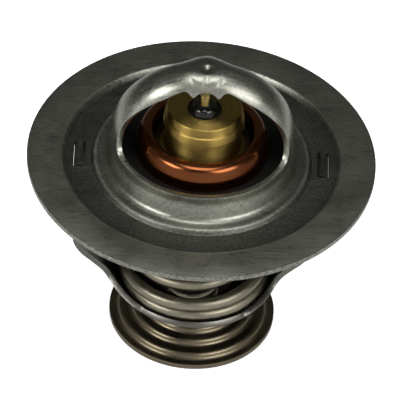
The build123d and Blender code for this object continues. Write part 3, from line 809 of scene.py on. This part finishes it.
# ---------------------------------------------------------------- element
class BuildElement(bpy.types.Operator):
    """Piston pin, brass guide, seals, wax cup and the dish of the main valve"""

    bl_idname = "thermostat.element"
    bl_label = "Wax element"

    def execute(self, context):
        settings = context.scene.thermostat_element
        pin = settings.pin / MM
        self.add_pin(pin)
        self.add_guide(settings, pin)
        self.add_seal_dome()
        self.add_cup()
        self.add_dish(settings)
        self.dress_inside()
        return {"FINISHED"}

    def add_pin(self, pin):
        """Rod that the element pushes itself down from."""
        pin_top, pin_end = top_mm("piston_pin"), bottom_mm("piston_pin")
        # Ground steel rod: bright, with faint rings left by the wheel.
        ground = bare_metal("ground steel rod", linear("#B4B4B0"), 0.2, (3, 3, 0.15), 0.1)
        add_turned(
            "piston_rod",
            [(0, pin_end), (pin, pin_end, 0.5), (pin, pin_top, 0.3), (0, pin_top)],
            ground, "frame_body", ["piston_pin"], 48,
        )

    def add_guide(self, settings, pin):
        """Stepped body round the pin, with a pocket for the seals in its top."""
        # Turned brass: olive, darkened as painted shade for the dark room and bridge it reflects,
        # and ringed by the tool across its whole height.
        brass = bare_metal(
            "turned brass", settings.brass, 0.4, (6, 6, 0.15), 0.3, blotch_mm=4, dirt=0.35
        )
        self.turn_finish(brass)
        bottom, top = bottom_mm("pin_guide"), top_mm("pin_guide")
        pocket, spigot, collar, step = 2.95, 6.0, 8.2, 1.9
        guide = [
            (pin + 0.05, bottom), (spigot, bottom, 0.1), (spigot, step, 0.1),
            (collar, step, 0.1), (collar, 3.3, 0.1), (6.95, 3.5, 0.3), (6.8, top - 4.3, 0.1),
            (7.4, top - 4.1, 0.15), (7.25, top - 2.45, 0.2), (6.95, top - 2.3, 0.08),
            (6.85, top - 0.5, 0.2), (5.0, top - 0.62, 1.0), (pocket, top - 1.2, 0.4),
            (pocket, top - 2.6, 0.1), (pin + 0.05, top - 2.6),
        ]
        add_turned("brass_guide", guide, brass, "element_body", ["pin_guide"])

    def add_cup(self):
        """Cup that holds the wax, with the rim that is crimped over the guide."""
        # Drawn brass cup: darker and duller than the guide, painted shade for the shadow it sits
        # in, with draw lines up its wall.
        cup_brass_in_painted_shade = bare_metal("drawn brass cup in painted shade", linear("#4C422A"), 0.55, (3, 3, 0.6), 0.15)
        bottom, top = bottom_mm("wax_cup"), top_mm("wax_cup")
        radius, shelf, rim, wall = 6.9, 1.1, half_width_mm("wax_cup"), 0.8
        cup = [
            (0, bottom), (radius, bottom, 1.2), (radius, shelf), (rim, shelf, 0.3),
            (rim, top, 0.5), (radius + 1, top),
        ]
        add_pressed(
            "wax_cup_shell", spun(rounded(cup), 160), wall, ((3, 0, bottom), (0, 0, -1)),
            cup_brass_in_painted_shade, "element_body", ["wax_cup"],
        )

    def add_dish(self, settings):
        """Dish of the main valve: a wall round the guide, a crest and the seal's land."""
        # Drawn copper alloy: warm, darkened as painted shade for the bridge over it, and polished
        # by the die where the crest rolls over.
        copper = bare_metal(
            "drawn copper alloy", settings.copper, 0.22, (5, 5, 0.25), 0.08, blotch_mm=4,
            dirt=0.22, spread=0.06,
        )
        inside = settings.dish_inside / MM
        crest = settings.dish_crest / MM
        land, land_level = half_width_mm("valve_dish"), 1.6
        hole, floor, sheet = 7.1, 1.1, 0.9
        dish = [
            (hole, floor), (inside, floor, 0.2), (inside, crest - 0.3, 0.5),
            (inside + 0.6, crest, 0.9), (11.2, crest - 0.4, 2.6), (12.4, 4.0, 2.4),
            (12.2, land_level, 0.3), (land, land_level),
        ]
        add_pressed(
            "copper_dish", spun(rounded(dish, 8), 200), sheet,
            ((land, 0, land_level), (0, 0, 1)), copper, "element_body",
            ["valve_dish"],
        )

    def dress_inside(self):
        """Materials of the seals, the sleeve, its ring and the wax."""
        # black rubber, made darker and less shiny still as painted shade for the deep shadow it
        # lies in
        black = moulded("moulded nitrile rubber", linear("#0A0A09"), 0.62)
        plug(*surface(black), {"Specular IOR Level": 0.2})
        for node in ("valve_seal", "wiper_seal", "rubber_sleeve"):
            dress(node, black)
        dress("backup_ring", moulded("moulded fluoropolymer", linear("#C8C4B8"), 0.4))
        dress("wax_charge", moulded("copper filled wax", linear("#8A5F3F"), 0.55))

    def turn_finish(self, material):
        """The lathe's fine rings draw each highlight out across them."""
        tree, shader = surface(material)
        around = add(tree, "ShaderNodeTangent", direction_type="RADIAL", axis="Z")
        plug(tree, shader, {
            "Anisotropic": 0.9, "Anisotropic Rotation": 0.25,
            "Tangent": around.outputs["Tangent"],
        })

    def add_seal_dome(self):
        """Domed washer over the wiper seal."""
        # Glossy black enamel on steel: hard small highlights, mottled by a faint orange peel.
        enamel, _ = fine_grained(
            "glossy black enamel", 0.6, [(0.4, linear("#080808")), (0.7, linear("#1C1A18"))],
            (0.06, 0.16),
        )
        under = bottom_mm("seal_cap") - 0.85
        rise = top_mm("seal_cap") - under
        dome = [
            (1.25, under), (2.8, under, 0.05), (2.8, under + 0.3 * rise, 0.3),
            (2.2, under + 0.8 * rise, 0.8), (1.6, under + 0.97 * rise, 0.4),
            (1.25, under + rise),
        ]
        add_turned(
            "seal_dome", dome, enamel, "element_body", ["seal_cap"], 96
        )


# ---------------------------------------------------------------- springs
def add_coil(name, stations, wire, material, body, node):
    """Round wire wound through stations of (turn, coil radius, height)."""
    turns = stations[-1][0]
    count = round(turns * 40)
    curve = bpy.data.curves.new(name, "CURVE")
    curve.dimensions = "3D"
    curve.bevel_depth = wire / 2 * MM
    curve.bevel_resolution = 6
    curve.use_fill_caps = True
    spline = curve.splines.new("POLY")
    spline.points.add(count)
    for index, point in enumerate(spline.points):
        turn = turns * index / count
        radius = between(stations, turn, 1)
        angle = 2 * pi * turn
        point.co = (
            radius * cos(angle) * MM, radius * sin(angle) * MM,
            between(stations, turn, 2) * MM, 1,
        )
    holder = put_in_scene(name + "_path", curve)
    bpy.context.view_layer.update()
    graph = bpy.context.evaluated_depsgraph_get()
    data = bpy.data.meshes.new_from_object(holder.evaluated_get(graph))
    bpy.data.objects.remove(holder)
    mesh = bmesh.new()
    mesh.from_mesh(data)
    bmesh.ops.remove_doubles(mesh, verts=mesh.verts, dist=0.001 * MM)
    bmesh.ops.recalc_face_normals(mesh, faces=mesh.faces)
    return add_piece(name, mesh, material, body, [node])


class BuildSprings(bpy.types.Operator):
    """Main spring and bypass spring"""

    bl_idname = "thermostat.springs"
    bl_label = "Springs"

    def execute(self, context):
        settings = context.scene.thermostat_springs
        # Drawn stainless wire: straw coloured by its temper, with draw lines round it.
        steel = bare_metal(
            "drawn stainless wire", settings.steel, 0.4, (4, 4, 0.5), 0.12, blotch_mm=5,
            dirt=0.3,
        )
        wire = settings.wire / MM
        floor, roof = bottom_mm("main_spring"), top_mm("main_spring")
        seat, top = floor + wire / 2, roof - wire / 2
        wide, narrow = 13.2, 8.7
        stations = [
            (0, wide, seat), (0.75, wide, seat), (1.75, wide, seat + 1.02 * wire),
            (2.75, wide - 2.6, seat + 2.1 * wire), (3.75, narrow + 0.3, seat + 4.6 * wire),
            (5.25, narrow, top - 1.1 * wire), (5.75, narrow, top), (6.5, narrow, top),
        ]
        main_coil = add_coil(
            "main_coil", stations, wire, steel, "frame_body", "main_spring"
        )
        squash_along(main_coil)

        thin = settings.bypass_wire / MM
        floor, roof = bottom_mm("bypass_spring"), top_mm("bypass_spring")
        bottom, high = floor + thin / 2, roof - thin / 2
        around = 4.2
        stations = [
            (0, around, bottom), (0.75, around, bottom), (1.25, around, bottom + 1.2 * thin),
            (3.25, around, high - 1.2 * thin), (3.75, around, high), (4.5, around, high),
        ]
        bypass_coil = add_coil(
            "bypass_coil", stations, thin, steel, "element_body",
            "bypass_spring",
        )
        squash_along(bypass_coil)
        return {"FINISHED"}


def furthest(joint):
    """End of a joint's travel."""
    return next(row["range_m"][1] for row in frame["joints"] if row["name"] == joint)


def squash_along(spring):
    """Gives a spring a mesh of its own."""
    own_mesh(spring)


# ---------------------------------------------------------------- bypass valve
class BuildBypass(bpy.types.Operator):
    """Stepped bypass valve with its stem, washer and clip"""

    bl_idname = "thermostat.bypass"
    bl_label = "Bypass valve"

    def execute(self, context):
        self.add_disc(context.scene.thermostat_bypass)
        self.add_stem()
        return {"FINISHED"}

    def add_disc(self, settings):
        """Disc that steps down to its rim, round a hub that slides on the stem."""
        rim = settings.rim_radius / MM
        sheet = settings.sheet / MM
        crown = settings.crown / MM
        step = settings.step / MM
        # Pressed stainless sheet: brown as a painted reflection of the brass and copper above it,
        # smooth where the steps were drawn.
        steel = bare_metal(
            "pressed stainless sheet", settings.steel, 0.34, (6, 6, 0.3), 0.1, blotch_mm=6,
            dirt=0.35,
        )
        bore = 1.8
        hub = bore + sheet
        disc = [(hub, crown + 1.3), (hub, crown, 0.5)]
        for index, radius in enumerate((9.5, 11.6, 14.0)):
            disc += [(radius - 0.25, crown - index * step, 0.9)]
            disc += [(radius + 0.25, crown - (index + 1) * step, 0.9)]
        disc += [(rim, crown - 3 * step)]
        add_pressed(
            "bypass_disc", spun(rounded(disc, 8), 200), sheet, ((6, 0, crown), (0, 0, 1)),
            steel, "bypass_body", ["bypass_valve"],
        )

    def add_stem(self):
        """Headed stem with a groove for the clip, and the washer over the spring."""
        # Turned free cutting steel: grey, ringed by the tool.
        turned_steel = bare_metal("turned steel", linear("#4E4C46"), 0.4, (3, 3, 0.3), 0.1)
        head, end = top_mm("bypass_stem"), bottom_mm("bypass_stem")
        under_head = head - 1.2
        shank, groove = 1.75, 1.23
        groove_top, groove_bottom = top_mm("bypass_clip"), bottom_mm("bypass_clip")
        stem = [
            (0, head), (4.0, head, 0.2), (4.0, under_head, 0.2), (shank, under_head, 0.2),
            (shank, groove_top, 0.05), (groove, groove_top, 0.05),
            (groove, groove_bottom, 0.05), (shank, groove_bottom, 0.05), (shank, end, 0.35),
            (0, end),
        ]
        add_turned(
            "bypass_rod", stem, turned_steel, "element_body", ["bypass_stem"], 64
        )
        low, high = bottom_mm("bypass_washer"), top_mm("bypass_washer")
        wide = half_width_mm("bypass_washer")
        hole = shank + 0.1
        washer = [(hole, low), (wide, low, 0.15), (wide, high, 0.15), (hole, high)]
        add_turned(
            "spring_washer", washer, turned_steel, "element_body",
            ["bypass_washer"], 96,
        )
        dress("bypass_clip", turned_steel)


# ---------------------------------------------------------------- studio
class BuildStudio(bpy.types.Operator):
    """Pale floor, soft lamps and the camera"""

    bl_idname = "thermostat.studio"
    bl_label = "Studio"

    def execute(self, context):
        settings = context.scene.thermostat_studio
        scene = context.scene
        scene.view_settings.view_transform = "Standard"
        self.add_floor(settings)
        self.add_world(settings)
        self.add_lamps()
        self.add_camera()
        return {"FINISHED"}

    def add_floor(self, settings):
        """Board just under the lowest place that the opening valve reaches."""
        gap = 0.1 * MM
        lowest = CAD_BOX[0].z - furthest("valve_travel") - gap
        mesh = bmesh.new()
        bmesh.ops.create_grid(
            mesh, x_segments=1, y_segments=1, size=4.0,
            matrix=Matrix.Translation((0, 0, lowest)),
        )
        data = bpy.data.meshes.new("studio_floor")
        mesh.to_mesh(data)
        mesh.free()
        floor = put_in_scene("studio_floor", data)
        # Matt white board: seen directly it is as white as its backdrop.
        material, tree, shader = new_material("matt white board")
        rays = add(tree, "ShaderNodeLightPath").outputs
        seen = add(
            tree, "ShaderNodeMath",
            {0: rays["Is Camera Ray"], 1: rays["Is Transmission Ray"]}, operation="MAXIMUM",
        ).outputs[0]
        glow = add(tree, "ShaderNodeMath", {0: seen, 1: 0.75}, operation="MULTIPLY").outputs[0]
        plug(tree, shader, {
            "Base Color": (*settings.floor, 1), "Roughness": 0.9,
            "Emission Color": (1, 1, 1, 1), "Emission Strength": glow,
        })
        data.materials.append(material)

    def add_world(self, settings):
        world = bpy.data.worlds.new("studio")
        bpy.context.scene.world = world
        world.use_nodes = True
        tree = world.node_tree
        way = add(tree, "ShaderNodeTexCoord").outputs["Generated"]
        # the white sweep lies below and in front; above and behind, the studio is dark
        reach = add(
            tree, "ShaderNodeVectorMath", {0: way, 1: (0, 0.6, 1)}, operation="DOT_PRODUCT"
        ).outputs["Value"]
        shift = add(
            tree, "ShaderNodeMapRange",
            {"Value": reach, "From Min": -0.6, "From Max": 0.6, "To Min": 0.0, "To Max": 1.0},
        ).outputs["Result"]
        shade = add(
            tree, "ShaderNodeValToRGB", {"Fac": shift},
            [(0.05, linear("#F0F0F0")), (0.35, linear("#C8C8C8")), (0.52, linear("#8C8E8A")),
             (0.68, settings.room), (1.0, settings.room)],
        ).outputs["Color"]
        plug(tree, tree.nodes["Background"], {"Color": shade})

    def add_lamps(self):
        """Soft square lamps: azimuth from the front, elevation, side and watts."""
        lamps = [
            ("left_softbox", -54, 34, 0.28, 2.6),
            ("right_softbox", 42, 36, 0.42, 3.0),
            ("top_softbox", -4, 80, 0.36, 2.0),
        ]
        distance = 0.75
        aim = Vector((0, 0, -5 * MM))
        for name, azimuth, elevation, side, watts in lamps:
            light = bpy.data.lights.new(name, "AREA")
            light.shape = "SQUARE"
            light.size = side
            light.energy = watts
            lamp = put_in_scene(name, light)
            turn, lift = radians(azimuth), radians(elevation)
            away = Vector((sin(turn) * cos(lift), -cos(turn) * cos(lift), sin(lift)))
            lamp.location = aim + away * distance
            lamp.rotation_euler = (-away).to_track_quat("-Z", "Y").to_euler()

    def add_camera(self):
        """Camera over the front of the valve, turned a little about its own axis."""
        data = bpy.data.cameras.new("camera")
        data.sensor_width = 36.0
        data.lens = 345.7
        data.clip_start = 0.01
        data.clip_end = 20
        camera = put_in_scene("camera", data)
        azimuth, elevation, roll = radians(-1.5), radians(43.13), radians(3.8)
        distance = 0.704
        back = Vector(
            (sin(azimuth) * cos(elevation), -cos(azimuth) * cos(elevation), sin(elevation))
        )
        right = Vector((cos(azimuth), sin(azimuth), 0))
        up = back.cross(right)
        turned_right = right * cos(roll) + up * sin(roll)
        turned_up = up * cos(roll) - right * sin(roll)
        target = Vector((0.25, 0, -11.2)) * MM
        view = Matrix((turned_right, turned_up, back)).transposed().to_4x4()
        view.translation = back * distance + target - target.dot(back) * back
        camera.matrix_world = view
        bpy.context.scene.camera = camera


# ---------------------------------------------------------------- add-on
class ThermostatPanel(bpy.types.Panel):
    """Sizes and colours of the coolant valve, and a button for each group of pieces"""

    bl_idname = "THERMOSTAT_PT_main"
    bl_label = "Thermostat"
    bl_space_type = "VIEW_3D"
    bl_region_type = "UI"
    bl_category = "Thermostat"

    def draw(self, context):
        for name, _, operator in SECTIONS:
            settings = getattr(context.scene, name)
            box = self.layout.box()
            for prop in settings.bl_rna.properties:
                if prop.identifier not in ("rna_type", "name"):
                    box.prop(settings, prop.identifier)
            box.operator(operator.bl_idname)


SECTIONS = [
    ("thermostat_flange", FlangeSettings, BuildFlange),
    ("thermostat_cage", CageSettings, BuildCage),
    ("thermostat_element", ElementSettings, BuildElement),
    ("thermostat_springs", SpringSettings, BuildSprings),
    ("thermostat_bypass", BypassSettings, BuildBypass),
    ("thermostat_studio", StudioSettings, BuildStudio),
]


def register():
    for name, settings, operator in SECTIONS:
        bpy.utils.register_class(settings)
        setattr(bpy.types.Scene, name, bpy.props.PointerProperty(type=settings))
        bpy.utils.register_class(operator)
    bpy.utils.register_class(ThermostatPanel)


def unregister():
    bpy.utils.unregister_class(ThermostatPanel)
    for name, settings, operator in reversed(SECTIONS):
        bpy.utils.unregister_class(operator)
        delattr(bpy.types.Scene, name)
        bpy.utils.unregister_class(settings)


def main():
    register()
    bpy.ops.thermostat.flange()
    bpy.ops.thermostat.cage()
    bpy.ops.thermostat.element()
    bpy.ops.thermostat.springs()
    bpy.ops.thermostat.bypass()
    bpy.ops.thermostat.studio()


if __name__ == "__main__":
    main()
